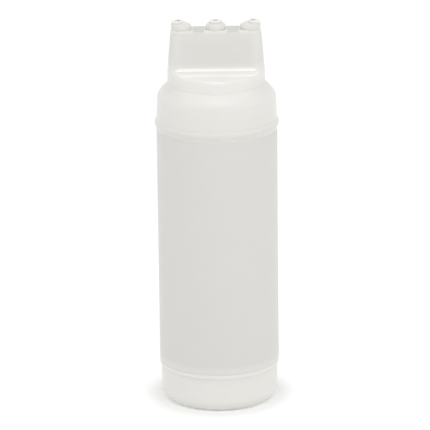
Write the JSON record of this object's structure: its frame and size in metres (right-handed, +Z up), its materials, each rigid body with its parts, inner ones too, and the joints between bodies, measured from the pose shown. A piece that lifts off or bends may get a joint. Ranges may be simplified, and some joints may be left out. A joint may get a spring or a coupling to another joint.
{
  "type": "squeeze bottle",
  "caption": "Upright cylindrical sauce bottle in milky plastic, with a screw-on flat wide-spout nozzle lid and a screw-on refill cap at its base.",
  "frame": {"origin": "middle of the refill cap's underside, on the surface the bottle stands on", "axes": "+Z up along the bottle's axis, towards the nozzles; +X along the flat spout's width; -Y is the side the picture shows"},
  "size_m": [0.072, 0.072, 0.2281],
  "materials": {
    "body_plastic": "milky natural low-density polyethylene, satin",
    "closure_plastic": "milky natural low-density polyethylene, thicker wall, satin",
    "seal_silicone": "matt translucent silicone"
  },
  "bodies": {
    "refill_cap": {"refill_cap": "closure_plastic"},
    "refill_seal": {"refill_seal": "seal_silicone"},
    "bottle": {"bottle_body": "body_plastic"},
    "lid_seal": {"lid_seal": "seal_silicone"},
    "lid": {"dispensing_lid": "closure_plastic"}
  },
  "joints": [
    {"name": "refill_turn", "type": "hinge", "parent": "refill_cap", "child": "refill_seal", "pos_m": [0, 0, 0.0025], "axis": [0, 0, 1], "range_deg": [0, 450]},
    {"name": "refill_rise", "type": "slide", "parent": "refill_seal", "child": "bottle", "axis": [0, 0, 1], "range_m": [0, 0.00626]},
    {"name": "lid_rise", "type": "slide", "parent": "bottle", "child": "lid_seal", "axis": [0, 0, 1], "range_m": [0, 0.00626]},
    {"name": "lid_turn", "type": "hinge", "parent": "lid_seal", "child": "lid", "pos_m": [0, 0, 0.1859], "axis": [0, 0, 1], "range_deg": [0, 450]}
  ],
  "couplings": [
    {"joint": "refill_rise", "follows": "refill_turn", "m_per_rad": 0.00079577},
    {"joint": "lid_rise", "follows": "lid_turn", "m_per_rad": 0.00079577}
  ]
}
